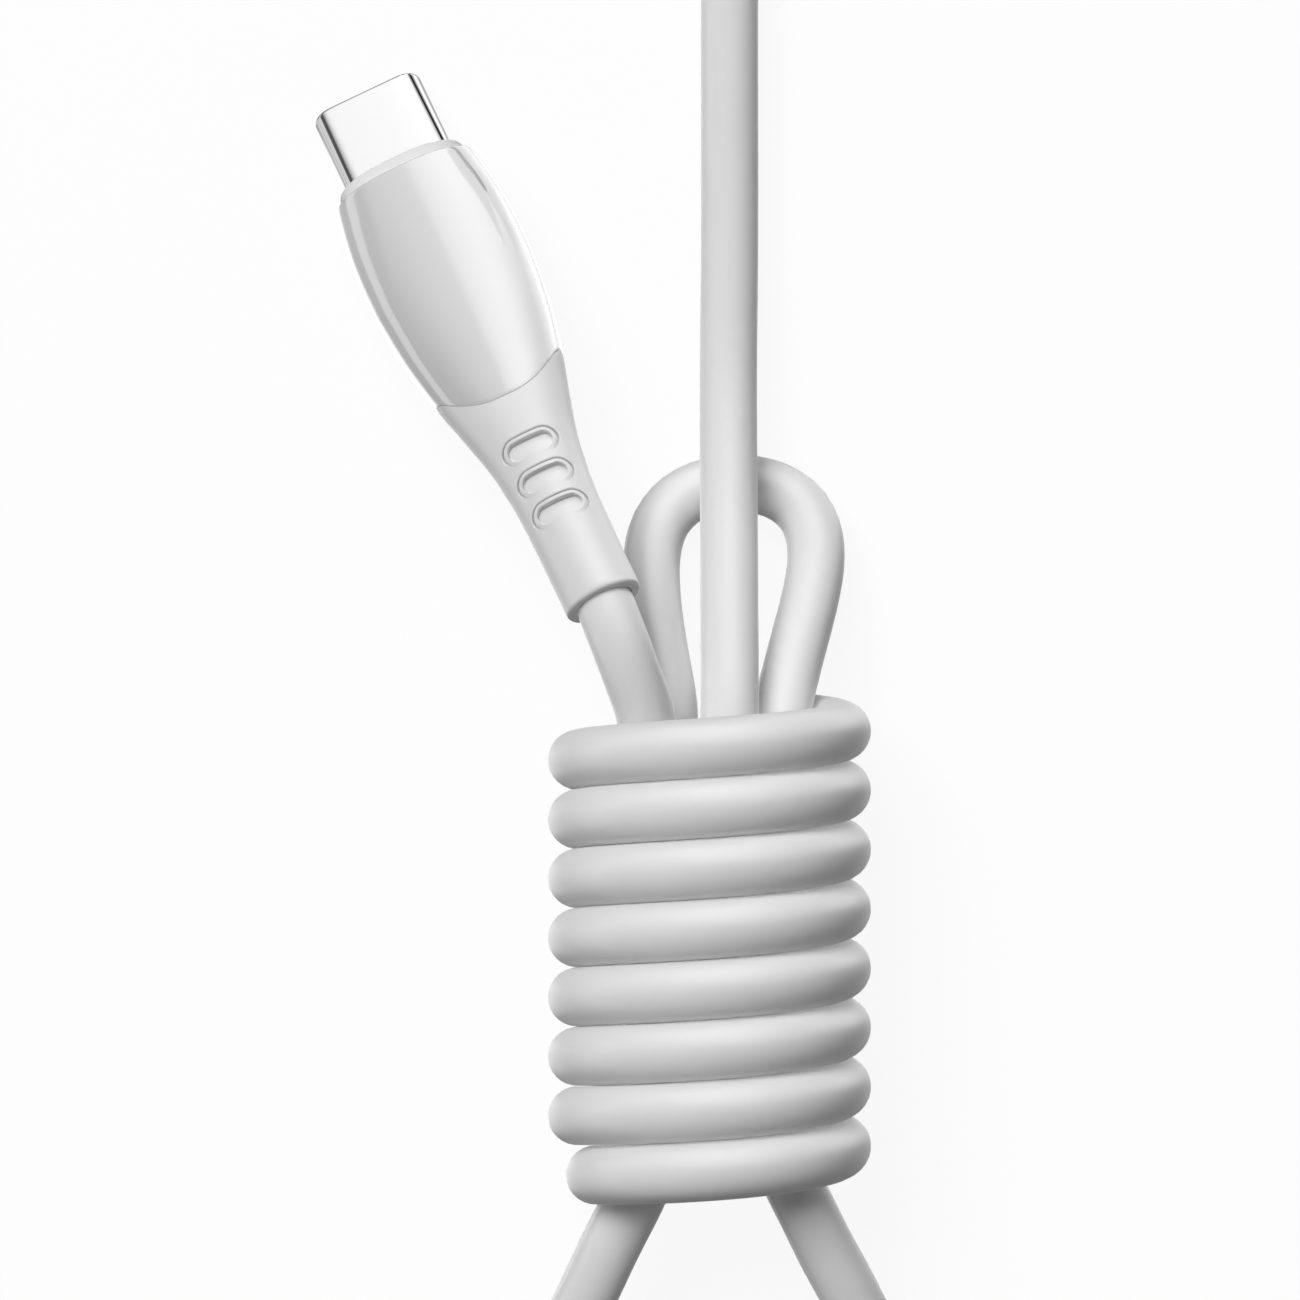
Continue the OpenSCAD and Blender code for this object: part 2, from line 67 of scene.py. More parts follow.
USB_C_SHELL_WIDTH = 8.25
USB_C_SHELL_THICKNESS = 2.4
USB_C_SHELL_LENGTH = 10.5
USB_C_SHELL_WALL = 0.2
USB_A_SHELL_WIDTH = 12
USB_A_SHELL_THICKNESS = 4.5
USB_A_SHELL_LENGTH = 18.75
USB_A_SHELL_WALL = 0.3
USB_A_SHELL_CORNER = 0.55
WINDOW_SIZE = 2.4
WINDOW_SIDE = 2.85          # from the USB-A plug's middle to a window's middle
WINDOW_BACK = 5.2           # from the mouth to a window's middle

COLLAR_LENGTH = 1
COLLAR_EDGE = ((1.0, 1), (0.3, 1), (0.19, 0.997), (0.1, 0.987), (0.04, 0.972),
               (0.0, 0.95), (0.0, 0.85))  # distance from the collar's front, share of its size
SHELL_FIT = 0.03            # room between a shell and its collar

SLEEVE_WALL = 0.7
SLEEVE_FRONT_WALL = 1.3
SLEEVE_FRONT_PLATE = 0.4    # where the hollow of the sleeve starts
SLEEVE_FRONT_EDGE = 0.12    # radius
SLEEVE_REAR_EDGE = 0.03     # radius
JOINT_BOW = 2.5             # how far the joint stands back on the broad faces
JOINT_GAP = 0.015

BOOT_EDGE = 0.25            # radius of the soft edge at the boot's end
BOOT_FRONT_EDGE = 0.04      # radius
BOOT_TONGUE = 4             # how far the boot's inside starts behind the joint
BORE_FIT = 0.03             # room between the cord and its bore
BORE_DEPTH = 3
SLOTS = 3
LAST_SLOT = 6.76            # from the boot's end to the middle of the last slot
SLOT_PITCH = 2.56
SLOT_STRAIGHT = 1.05        # half the length of a slot's straight part
SLOT_RADIUS = 0.61
LIP_RADIUS = 0.97
SLOT_ZONE = (13.1, 5.5)     # from the boot's end: where the rings stand close together
SLOT_REACH = (2.4, 1.25)    # how far a slot changes the skin across and along the plug

# ---- Sizes and colours that a user would change ----


class CordSettings(bpy.types.PropertyGroup):
    diameter: FloatProperty(name="Diameter", description="Diameter of the jacket",
                            default=0.0041, unit="LENGTH")
    winding_radius: FloatProperty(name="Winding radius", default=0.0094, unit="LENGTH",
                                  description="Radius of the turns, to the middle of the cord")
    pitch: FloatProperty(name="Pitch", default=0.00415, unit="LENGTH",
                         description="Distance from one turn to the next")
    colour: FloatVectorProperty(name="Colour", description="Colour of the jacket",
                                subtype="COLOR", default=(0.78, 0.78, 0.78), min=0, max=1)


class PlugSettings(bpy.types.PropertyGroup):
    usb_c_width: FloatProperty(name="USB-C width", default=0.01215, unit="LENGTH",
                               description="Largest width of the USB-C plug's gloss sleeve")
    usb_c_thickness: FloatProperty(name="USB-C thickness", default=0.0078, unit="LENGTH",
                                   description="Largest thickness of the USB-C plug's sleeve")
    usb_a_width: FloatProperty(name="USB-A width", default=0.016, unit="LENGTH",
                               description="Largest width of the USB-A plug's gloss sleeve")
    usb_a_thickness: FloatProperty(name="USB-A thickness", default=0.008, unit="LENGTH",
                                   description="Largest thickness of the USB-A plug's sleeve")
    boot_end: FloatProperty(name="Boot end", default=0.0055, unit="LENGTH",
                            description="Diameter of a boot where the cord leaves it")
    lip_height: FloatProperty(name="Lip height", default=0.00016, unit="LENGTH",
                              description="How far the lips round a boot's slots stand out")
    slot_depth: FloatProperty(name="Slot depth", default=0.00032, unit="LENGTH",
                              description="Depth of a boot's slots on the side of the mouth")
    gloss_colour: FloatVectorProperty(name="Gloss sleeve", description="Colour of the sleeves",
                                      subtype="COLOR", default=(0.56, 0.56, 0.56), min=0, max=1)
    boot_colour: FloatVectorProperty(name="Boot", description="Colour of the soft boots",
                                     subtype="COLOR", default=(0.72, 0.72, 0.72), min=0, max=1)
    collar_colour: FloatVectorProperty(name="Collar", description="Colour of the matt collars",
                                       subtype="COLOR", default=(0.78, 0.78, 0.78), min=0, max=1)
    steel_colour: FloatVectorProperty(name="Steel", description="Colour of the polished shells",
                                      subtype="COLOR", default=(0.37, 0.37, 0.37), min=0, max=1)


class StageSettings(bpy.types.PropertyGroup):
    key: FloatProperty(name="Key light", description="Power of the large soft lamp",
                       default=5.1, min=0)
    fill: FloatProperty(name="Fill", description="Brightness of the surroundings", default=0.09,
                        min=0)
    floor_colour: FloatVectorProperty(name="Floor", description="Colour of the floor",
                                      subtype="COLOR", default=(0.38, 0.38, 0.38), min=0, max=1)


def settings(group):
    """The sizes and colours of the cord, the plugs or the stage."""
    return getattr(bpy.context.scene, "cable_" + group)


# ---- Shapes ----


def smooth_curve(rows):
    """A smooth curve through the rows that doesn't overshoot them."""
    x, y = (np.array(c, float) for c in zip(*rows))
    h, d = np.diff(x), np.diff(y) / np.diff(x)
    m = np.zeros_like(y)
    m[0], m[-1] = d[0], d[-1]
    same = d[:-1] * d[1:] > 0
    w1, w2 = 2 * h[1:] + h[:-1], h[1:] + 2 * h[:-1]
    m[1:-1][same] = ((w1 + w2) / (w1 / np.where(same, d[:-1], 1)
                                  + w2 / np.where(same, d[1:], 1)))[same]

    def at(u):
        u = np.clip(u, x[0], x[-1])
        k = np.clip(np.searchsorted(x, u) - 1, 0, len(h) - 1)
        t = (u - x[k]) / h[k]
        return ((1 + 2 * t) * (1 - t) ** 2 * y[k] + t * (1 - t) ** 2 * h[k] * m[k]
                + t * t * (3 - 2 * t) * y[k + 1] + t * t * (t - 1) * h[k] * m[k + 1])
    return at


def mesh_piece(name, points, faces, material, smooth_angle=35.0):
    """A piece from points in metres."""
    mesh = bpy.data.meshes.new(name)
    mesh.from_pydata([tuple(p) for p in points], [], faces)
    piece = bpy.data.objects.new(name, mesh)
    bpy.context.scene.collection.objects.link(piece)
    return finish_piece(piece, material, smooth_angle)


def finish_piece(piece, material, smooth_angle):
    """Turns a piece's faces outwards, smooths and paints it, and lets it ride on the root."""
    bpy.ops.object.select_all(action="DESELECT")
    bpy.context.view_layer.objects.active = piece
    piece.select_set(True)
    bpy.ops.object.mode_set(mode="EDIT")
    bpy.ops.mesh.select_all(action="SELECT")
    bpy.ops.mesh.normals_make_consistent(inside=False)
    bpy.ops.object.mode_set(mode="OBJECT")
    bpy.ops.object.shade_smooth_by_angle(angle=math.radians(smooth_angle))
    piece.data.materials.clear()
    piece.data.materials.append(material)
    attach(piece, "root")
    return piece


def bands(rings, n, close=False):
    """Faces between rings of n points each."""
    faces = []
    for j in range(rings if close else rings - 1):
        k = (j + 1) % rings
        for i in range(n):
            i2 = (i + 1) % n
            faces.append((j * n + i, j * n + i2, k * n + i2, k * n + i))
    return faces


def stadium_ring(w, t, n=96):
    """Outline of a bar with full-round sides, w wide and t thick."""
    r = t / 2
    a = np.linspace(-math.pi / 2, math.pi / 2, n // 4 + 1)
    x = (w - t) / 2 + r * np.cos(a)
    z = r * np.sin(a)
    flat = np.linspace(-1, 1, n // 4 + 1)[1:-1] * (w - t) / 2
    top = np.stack([-flat, np.full_like(flat, r)], 1)
    side = np.stack([x, z], 1)
    return np.concatenate([side, top, -side, -top])


def box_ring(w, t, r, n=96):
    """Outline of a bar with small round corners."""
    a = np.linspace(0, math.pi / 2, n // 8)
    corner = np.stack([np.cos(a), np.sin(a)], 1) * r
    ring = []
    for sx, sz, turn in ((1, 1, 0), (-1, 1, 1), (-1, -1, 2), (1, -1, 3)):
        c, s = [(1, 0), (0, 1), (-1, 0), (0, -1)][turn]
        spun = np.stack([c * corner[:, 0] - s * corner[:, 1],
                         s * corner[:, 0] + c * corner[:, 1]], 1)
        ring.append(spun + [sx * (w / 2 - r), sz * (t / 2 - r)])
    return np.concatenate(ring)


# ---- Plugs: x across, y back from the mouth, z up, in millimetres ----

# From the joint to the boot's end: how much of the sleeve's section is left
BOOT_BLEND = [(0, 1), (0.04, 0.92), (0.1, 0.775), (0.17, 0.617), (0.23, 0.483), (0.3, 0.338),
              (0.36, 0.24), (0.43, 0.162), (0.5, 0.09), (0.62, 0.036), (0.8, 0.008), (1, 0)]
# From the sleeve's front to the joint: share of its largest width
USB_C_OUTLINE = [(0, 0.888), (0.045, 0.911), (0.115, 0.942), (0.19, 0.969), (0.28, 0.99),
                 (0.4, 1), (0.5, 0.997), (0.61, 0.975), (0.76, 0.928), (0.9, 0.859), (1, 0.797)]
USB_A_OUTLINE = [(0, 0.93), (0.03, 0.955), (0.25, 0.99), (0.5, 1), (0.75, 0.97), (1, 0.88)]
WIDTH_ONLY = (0.045, 0.115)  # places of the outline that the thickness leaves out
THICKNESS_TAPER = 0.65       # the thickness changes less along the plug than the width
BOW_SHAPE = 2.4


class Plug:
    """The skin that a plug's collar, sleeve and boot share, and the plug's place."""

    def __init__(self, key, place, marks, width, thickness, square, outline):
        self.key, self.place, self.square = key, place, square
        self.front, self.joint, self.end = marks
        end_d = settings("plugs").boot_end / MM
        span, rest = self.joint - self.front, self.end - self.joint
        self.blend = smooth_curve(BOOT_BLEND)

        def curve(full, power):
            rows = [(self.front + u * span, full * share ** power) for u, share in outline
                    if power == 1 or u not in WIDTH_ONLY]
            last = rows[-1][1]
            rows += [(self.joint + u * rest, end_d + (last - end_d) * b)
                     for u, b in BOOT_BLEND[1:]]
            return smooth_curve(rows)
        self.width = curve(width / MM, 1)
        self.thick = curve(thickness / MM, THICKNESS_TAPER)

    def exponent(self, s):
        """How square the section is: 2 is an ellipse, as at the boot's end."""
        past = (s - self.joint) / (self.end - self.joint)
        return np.where(s <= self.joint, self.square,
                        2 + (self.square - 2) * self.blend(np.clip(past, 0, 1)))

    def skin(self, a, s, inset=0.0):
        """Points of the skin at angles a and distances s from the mouth."""
        e = self.exponent(s)
        c, n = np.cos(a), np.sin(a)
        x = (self.width(s) / 2 - inset) * np.sign(c) * np.abs(c) ** (2 / e)
        z = (self.thick(s) / 2 - inset) * np.sign(n) * np.abs(n) ** (2 / e)
        return np.stack([x, s + 0 * a, z], -1)

    def joint_at(self, a):
        """The joint of sleeve and boot bows backwards on the broad faces."""
        return self.joint + JOINT_BOW * (1 - np.abs(np.cos(a)) ** BOW_SHAPE)

    def world(self, points):
        """Points of the plug in the scene, in metres."""
        m = np.array(self.place)
        p = np.asarray(points).reshape(-1, 3)
        return (p @ m[:3, :3].T + m[:3, 3]) * MM


def mouth_place(name):
    """The frame of a plug, in millimetres: its origin in the mouth, and y back from it."""
    mount = next(m for m in frame["record"]["mounts"] if m["name"] == name)
    back = -Vector(mount["axis"]).normalized()
    side = back.cross(Vector((0, 0, 1))).normalized()
    up = side.cross(back)
    place = Matrix((side, back, up)).transposed().to_4x4()
    place.translation = Vector(mount["pos_m"]) / MM
    return place


def plugs():
    s = settings("plugs")
    c = Plug("usb_c", mouth_place("usb_c_plug_mouth"), USB_C_MARKS, s.usb_c_width,
             s.usb_c_thickness, square=2.5, outline=USB_C_OUTLINE)
    a = Plug("usb_a", mouth_place("usb_a_plug_mouth"), USB_A_MARKS, s.usb_a_width,
             s.usb_a_thickness, square=4.5, outline=USB_A_OUTLINE)
    return c, a


def make_sleeve(plug, n=160):
    """The gloss sleeve: its front edge, its skin back to the bowed joint, and its inside."""
    a = np.linspace(0, 2 * math.pi, n, endpoint=False)
    joint = plug.joint_at(a)
    edge, rear = SLEEVE_FRONT_EDGE, SLEEVE_REAR_EDGE
    rings = [plug.skin(a, np.full_like(a, plug.front), SLEEVE_FRONT_WALL)]
    for q in np.linspace(0, math.pi / 2, 7):
        rings.append(plug.skin(a, np.full_like(a, plug.front + edge * (1 - math.cos(q))),
                               edge * (1 - math.sin(q))))
    start = plug.front + edge
    for v in np.linspace(0, 1, 56)[1:]:
        rings.append(plug.skin(a, start + v * (joint - rear - start)))
    for q in np.radians((30, 60, 90)):
        rings.append(plug.skin(a, joint - rear * (1 - math.sin(q)), rear * (1 - math.cos(q))))
    rings.append(plug.skin(a, joint, SLEEVE_WALL))
    hollow = plug.front + SLEEVE_FRONT_PLATE
    for v in np.linspace(1, 0, 10)[1:]:
        wall = SLEEVE_WALL + (SLEEVE_FRONT_WALL - SLEEVE_WALL) * (1 - v) ** 4
        rings.append(plug.skin(a, hollow + v * (joint - hollow), wall))
    piece = mesh_piece(plug.key + "_gloss_sleeve", plug.world(rings),
                       bands(len(rings), n, close=True), gloss_white())
    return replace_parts(piece, plug.key + "_sleeve")


def ramp(value, start, end):
    """Nothing at start, one at end, and straight between them."""
    return np.clip((value - start) / (end - start), 0, 1)


def line_at(value, middle, width):
    """One at the middle, and soon nothing on both sides."""
    return np.exp(-((value - middle) / width) ** 2)


def slot_relief(x, y, lip, depth):
    """Height of the skin round one slot, and the shade painted into its creases and on the floor
    under its wall: y is towards the mouth.
    """
    across = np.abs(x)
    d = np.hypot(np.clip(across - SLOT_STRAIGHT, 0, None), y)  # distance from the middle line
    # The lip stands up round the mouth's side of the slot, and fades out on the other side
    upper = ramp(y, -0.95, -0.15)
    upper = upper * upper * (3 - 2 * upper)
    upper *= 1 - ramp(-y, 0.2, 0.6) * ramp(across, 1.3, 0.7)
    lip_top = ramp(d, SLOT_RADIUS, SLOT_RADIUS + 0.08) * ramp(d, LIP_RADIUS, LIP_RADIUS - 0.08)
    height = lip * upper * lip_top * (2 - lip_top)
    # A groove follows the lip's outside towards the mouth
    outer = ramp(y, -0.5, 0.3)
    height -= 0.25 * outer * line_at(d, LIP_RADIUS + 0.05, 0.06)
    # The slot's floor slopes down towards the mouth
    slope = ramp(y, -0.62, 0.62) ** 1.3
    height -= depth * slope * ramp(d, SLOT_RADIUS + 0.03, SLOT_RADIUS - 0.04)
    wall = ramp(y, -0.35, 0.15)
    # Painted shade: a dark line in the groove outside the lip, one at the foot of the slot's
    # wall, and a soft darkening of the floor under that wall
    crease_shade = 0.6 * outer * line_at(d, LIP_RADIUS + 0.03, 0.055)
    crease_shade += 0.4 * wall * line_at(d, SLOT_RADIUS - 0.07, 0.05)
    crease_shade += 0.1 * wall * (d < 0.55) * (d / 0.55) ** 2
    return height, np.clip(crease_shade, 0, 1)


def boot_angles(middle, side):
    """Angles round a boot, close together on the broad faces, where the slots are."""
    start, stop = math.radians(38), math.radians(142)
    up = np.concatenate([np.linspace(0, start, side, endpoint=False),
                         np.linspace(start, stop, middle, endpoint=False),
                         np.linspace(stop, math.pi, side, endpoint=False)])
    return np.concatenate([up, up + math.pi])


def make_boot(plug, fine=True):
    """The soft boot: its front inside the joint, its skin with the slots, its end and bore."""
    sizes = settings("plugs")
    a = boot_angles(150, 26) if fine else boot_angles(72, 20)
    n = len(a)
    joint = plug.joint_at(a) + JOINT_GAP
    end = plug.end
    zone = [end - back for back in SLOT_ZONE]
    rows = [joint + v * (zone[0] - joint) for v in np.linspace(0, 1, 22, endpoint=False)]
    rows += [np.full(n, s) for s in np.linspace(*zone, 160 if fine else 100)]
    rows += [np.full(n, s) for s in np.linspace(zone[1], end - BOOT_EDGE, 16)[1:]]
    rings = [plug.skin(a, joint, inset) for inset in (1.6, 0.9, 0.45, 0.04)]
    rings += [plug.skin(a, joint + BOOT_FRONT_EDGE * (1 - math.cos(q)),
                        BOOT_FRONT_EDGE * (1 - math.sin(q))) for q in np.radians((30, 60))]
    plain = np.zeros(n)
    # Painted shade for each ring's points, dark in the slots' creases
    crease_shades = [plain] * (len(rings) + 1)  # one more, for the inmost ring
    for s in rows:
        p = plug.skin(a, s)
        dark = np.zeros(n)
        for k in range(SLOTS):
            y = (end - LAST_SLOT - SLOT_PITCH * k) - s
            height, crease_shade = slot_relief(p[:, 0], y, sizes.lip_height / MM,
                                         sizes.slot_depth / MM)
            near = (np.abs(y) < SLOT_REACH[1]) & (np.abs(p[:, 0]) < SLOT_REACH[0])
            p[:, 2] += np.where(near, height, 0) * np.sign(p[:, 2])
            dark += np.where(near, crease_shade, 0)
        rings.append(p)
        crease_shades.append(dark)
    for q in np.radians(np.linspace(0, 90, 6)):
        rings.append(plug.skin(a, np.full(n, end - BOOT_EDGE * (1 - math.sin(q))),
                               BOOT_EDGE * (1 - math.cos(q))))

    def circle(radius, along):
        return np.stack([radius * np.cos(a), np.full(n, along), radius * np.sin(a)], -1)
    bore = settings("cord").diameter / MM / 2 + BORE_FIT
    rings += [circle(bore, end - back) for back in (0.0, 0.1, BORE_DEPTH / 2, BORE_DEPTH)]
    rings.append(circle(0.6, end - BORE_DEPTH))
    rings.insert(0, circle(0.6, plug.joint + BOOT_TONGUE))
    piece = mesh_piece(plug.key + "_soft_boot", plug.world(rings),
                       bands(len(rings), n, close=True), soft_white(), 50)
    crease_shades += [plain] * (len(rings) - len(crease_shades))
    # The painted shade goes on the boot's points, for its finish to darken them
    set_tone(piece, "crease_shade", np.concatenate(crease_shades))
    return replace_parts(piece, plug.key + "_boot")


def set_tone(piece, name, values):
    """A value at each point of a piece, which its finish reads."""
    tone = piece.data.attributes.new(name, "FLOAT", "POINT")
    tone.data.foreach_set("value", np.array(values, np.float32))


def make_collar(plug, share, hole):
    """The matt collar: a plate of a share of the sleeve's front, round the shell's hole."""
    n = len(hole)
    a = np.arctan2(hole[:, 1] / plug.thick(plug.front), hole[:, 0] / plug.width(plug.front))
    base = plug.skin(a, np.full(n, plug.front))
    front = plug.front - COLLAR_LENGTH
    rings = []
    for back, size in COLLAR_EDGE:
        p = base * [share * size, 1, share * size]
        p[:, 1] = front + back
        rings.append(p)
    for along in (front, plug.front):
        rings.append(np.stack([hole[:, 0], np.full(n, along), hole[:, 1]], -1))
    piece = mesh_piece(plug.key + "_matt_collar", plug.world(rings),
                       bands(len(rings), n, close=True), collar_grey())
    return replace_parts(piece, plug.key + "_collar")


def make_shell(plug, ring, wall, length, side_round, face_round):
    """A drawn steel shell: its front edge is rounded, more at its sides than on its faces."""
    outer, inner = ring(0), ring(wall)
    n = len(outer)
    half_w, half_t = np.abs(outer[:, 0]).max(), np.abs(outer[:, 1]).max()
    reach = np.abs(outer[:, 0]) / half_w
    rings = []
    for q in np.radians(np.linspace(0, 90, 9)):
        side_in = side_round * (1 - math.sin(q))
        face_in = face_round * (1 - math.sin(q))
        back = (1 - math.cos(q)) * (face_round + (side_round - face_round) * reach ** 6)
        rings.append(np.stack([outer[:, 0] * (1 - side_in / half_w), back,
                               outer[:, 1] * (1 - face_in / half_t)], -1))
    mouth = (1 - (side_round - 0.08) / half_w, 0.97)  # the opening is a little narrower in front
    for outline, along, share in ((outer, length, (1, 1)), (inner, length, (1, 1)),
                                  (inner, 0.45, mouth), (inner, 0.03, mouth)):
        rings.append(np.stack([outline[:, 0] * share[0], np.full(n, along),
                               outline[:, 1] * share[1]], -1))
    return plug.world(rings), bands(len(rings), n, close=True)


def usb_c_ring(inset):
    return stadium_ring(USB_C_SHELL_WIDTH - 2 * inset, USB_C_SHELL_THICKNESS - 2 * inset, 128)


def usb_a_ring(inset):
    return box_ring(USB_A_SHELL_WIDTH - 2 * inset, USB_A_SHELL_THICKNESS - 2 * inset,
                    USB_A_SHELL_CORNER - 0.8 * inset, 96)


def cut(piece, plug, size, centre):
    """Cuts a block out of a piece, its size and centre given in the plug's frame."""
    bpy.ops.object.select_all(action="DESELECT")
    bpy.ops.mesh.primitive_cube_add(size=1)
    cutter = bpy.context.active_object
    block = Matrix.Translation(centre) @ Matrix.Diagonal((*size, 1))
    cutter.data.transform(Matrix.Scale(MM, 4) @ plug.place @ block)
    bpy.ops.object.select_all(action="DESELECT")
    bpy.context.view_layer.objects.active = piece
    piece.select_set(True)
    window = piece.modifiers.new("window", "BOOLEAN")
    window.operation, window.object, window.solver = "DIFFERENCE", cutter, "EXACT"
    bpy.ops.object.modifier_apply(modifier=window.name)
    bpy.data.objects.remove(cutter)


# ---- Cord: one length, from the USB-C plug's ferrule to the USB-A plug's ferrule ----
# Its route is given in millimetres, as in the part's source

COIL_TOP, COIL_MIDDLE, COIL_BOTTOM = -9.4, -26.0, -42.6  # along y
COIL_HEIGHT = 11.45                                      # height of the winding's middle
# The turns: angles round the winding in degrees, from the top one's back
FIRST_TURN, TURN_STEP, TURNED = 235, 15, 2755
FIRST_TURN_Y = 13.57
TUCK_FROM, TUCK = -2430, 1.4  # the last turn tucks in from this angle, by this much a quarter
TO_PLUG = [(-6.4, 5.6, 17.2), (-5.5, 3.2, 16.9), (-4.8, 1.3, 15.9)]
TOP_LOOP = [(4.9, 0, 10.2), (5.3, 1.2, 9.6), (5.8, 3.3, 8.6), (6.4, 5.4, 7.5), (7, 7.5, 6.3),
            (7.5, 9.6, 5.1), (7.8, 11.8, 4), (7.4, 14, 3), (6.3, 15.5, 2.4), (4.6, 16.4, 2.1),
            (2.1, 16.7, 2.1), (-0.5, 16.4, 2.1), (-2.2, 15.5, 2.3), (-3.5, 14, 2.8),
            (-4.1, 11.8, 3.7), (-4.1, 9.6, 4.7), (-3.95, 7.5, 5.7), (-3.65, 5.4, 6.8),
            (-3.3, 3.3, 7.8), (-2.7, 0, 9.4)]
LOWER_LOOP_1 = [(-6.7, -3.3, 13), (-8.7, -7.7, 11.9), (-14.6, -18, 8.3), (-21.8, -28.5, 5.2),
                (-26.1, -40, 2.6), (-24.3, -48, 2.1), (-18.5, -55.5, 2.1), (-10, -60.2, 2.1),
                (0, -61.3, 2.1), (10, -60.2, 2.1), (18.5, -55.5, 2.1), (24.3, -48, 2.1),
                (26.1, -40, 2.6), (22.6, -28.5, 5.2), (15.9, -18, 8.3), (10.1, -7.7, 11.9),
                (7.7, -3.3, 13)]
LOWER_LOOP_2 = [(-6.7, -3.3, 8.5), (-8.7, -7.7, 7.3), (-13, -17, 4), (-17.8, -27.5, 2.2),
                (-21.3, -38.5, 2.1), (-18.7, -48.5, 2.1), (-11.5, -54.5, 2.1), (0, -56.9, 2.1),
                (11.5, -54.5, 2.1), (18.7, -48.5, 2.1), (21.3, -38.5, 2.1), (18.5, -27.5, 2.2),
                (14.3, -17, 4), (10.1, -7.7, 7.3), (7.7, -3.3, 8.5)]
TAIL = [(1.4, 4, 12.3), (1.4, 9, 10.3), (1.4, 13, 8.5), (1.4, 17, 7.1), (1.4, 24, 5.4),
        (1.5, 34, 4.5), (1.5, 46, 4.2)]
# Where strands leave and enter the winding's lower end
LEAVE_1, ENTER_1 = (-5.0, -42.7, 13.5), (6.2, -42.6, 13.6)
LEAVE_2, ENTER_2 = (-5.0, -42.7, 9.4), (6.2, -42.6, 9.2)
# Strands inside the winding: x, y and z from the winding's middle
STRAND_1 = [(-4.3, 16.6, 3.15), (-4.4, 8, 2.6), (-4.2, 0, 2.3), (-3.7, -8, 2.2),
            (-3.8, -13.5, 2.2)]
STRAND_2 = [(5.2, -15.2, 2.1), (4.7, -8, 2.2), (4.5, 0, 1.4), (4.8, 8, 0.2)]
STRAND_3 = [(-3.9, 8, -2.0), (-4.3, 0, -1.9), (-3.9, -8, -1.9), (-3.8, -13.5, -1.9)]
STRAND_4 = [(5.2, -15.2, -2.2), (4.6, -8, -3.0), (3.2, -3, -4.1), (1.6, 2, -4.9),
            (0, 6, -5.2), (-0.8, 9.3, -5.25), (-0.4, 12.2, -5.5), (1.0, 14.5, -6.4),
            (3.1, 15.9, -7.4)]
STRAND_5 = [(-5.7, -15.6, -5.2), (-3.0, -15.8, -6.9), (0.0, -14.9, -6.8), (1.5, -12.3, -5.0),
            (1.0, -8.5, -2.6), (0.5, -4, -0.8), (0.3, 0, 0.4), (0.9, 8, 1.4), (1.4, 16.6, 2.0)]


def shifted(rows, y, z=0.0):
    return [(p[0], p[1] + y, p[2] + z) for p in rows]


def turns(radius, pitch):
    """The turns of the winding, from the top one's back to the left end of the lowest."""
    points = []
    for step in range(0, TURNED + 1, TURN_STEP):
        angle = FIRST_TURN - step
        r = radius if angle > TUCK_FROM else radius - TUCK * ((TUCK_FROM - angle) / 90) ** 2
        a = math.radians(angle)
        points.append((-r * math.cos(a), FIRST_TURN_Y + pitch * angle / 360, r * math.sin(a)))
    return points


def cord_route():
    """The points that the cord's line follows, from the USB-C plug to the USB-A plug."""
    s = settings("cord")
    c, a = plugs()

    def inside(plug, places):
        return [tuple(plug.world([(0, d, 0)])[0] / MM) for d in places]

    def wound(rows):
        return shifted(rows, COIL_MIDDLE, COIL_HEIGHT)
    return (inside(c, USB_C_JACKET) + shifted(TO_PLUG, COIL_TOP)
            + wound(STRAND_1) + [LEAVE_1] + shifted(LOWER_LOOP_1, COIL_BOTTOM) + [ENTER_1]
            + wound(STRAND_2) + shifted(TOP_LOOP, COIL_TOP)
            + wound(STRAND_3) + [LEAVE_2] + shifted(LOWER_LOOP_2, COIL_BOTTOM) + [ENTER_2]
            + wound(STRAND_4) + wound(turns(s.winding_radius / MM, s.pitch / MM))
            + wound(STRAND_5) + shifted(TAIL, COIL_TOP) + inside(a, USB_A_JACKET))


def through(points, step):
    """Points a step apart on a smooth curve through the given ones."""
    p = np.array(points, float)
    q = np.vstack([2 * p[0] - p[1], p, 2 * p[-1] - p[-2]])
    out = []
    for i in range(1, len(q) - 2):
        p0, p1, p2, p3 = q[i - 1:i + 3]
        t1 = np.linalg.norm(p1 - p0) ** 0.5
        t2 = t1 + np.linalg.norm(p2 - p1) ** 0.5
        t3 = t2 + np.linalg.norm(p3 - p2) ** 0.5
        count = max(2, int(np.linalg.norm(p2 - p1) / step))
        for t in np.linspace(t1, t2, count, endpoint=False):
            a1 = (t1 - t) / t1 * p0 + t / t1 * p1
            a2 = (t2 - t) / (t2 - t1) * p1 + (t - t1) / (t2 - t1) * p2
            a3 = (t3 - t) / (t3 - t2) * p2 + (t - t2) / (t3 - t2) * p3
            b1 = (t2 - t) / t2 * a1 + t / t2 * a2
            b2 = (t3 - t) / (t3 - t1) * a2 + (t - t1) / (t3 - t1) * a3
            out.append((t2 - t) / (t2 - t1) * b1 + (t - t1) / (t2 - t1) * b2)
    out.append(p[-1])
    return np.array(out)


def evenly(curve, step):
    """Points at even distances along a curve, and its length."""
    d = np.r_[0, np.cumsum(np.linalg.norm(np.diff(curve, axis=0), axis=1))]
    u = np.linspace(0, d[-1], int(round(d[-1] / step)) + 1)
    return np.stack([np.interp(u, d, curve[:, k]) for k in range(3)], 1), d[-1]


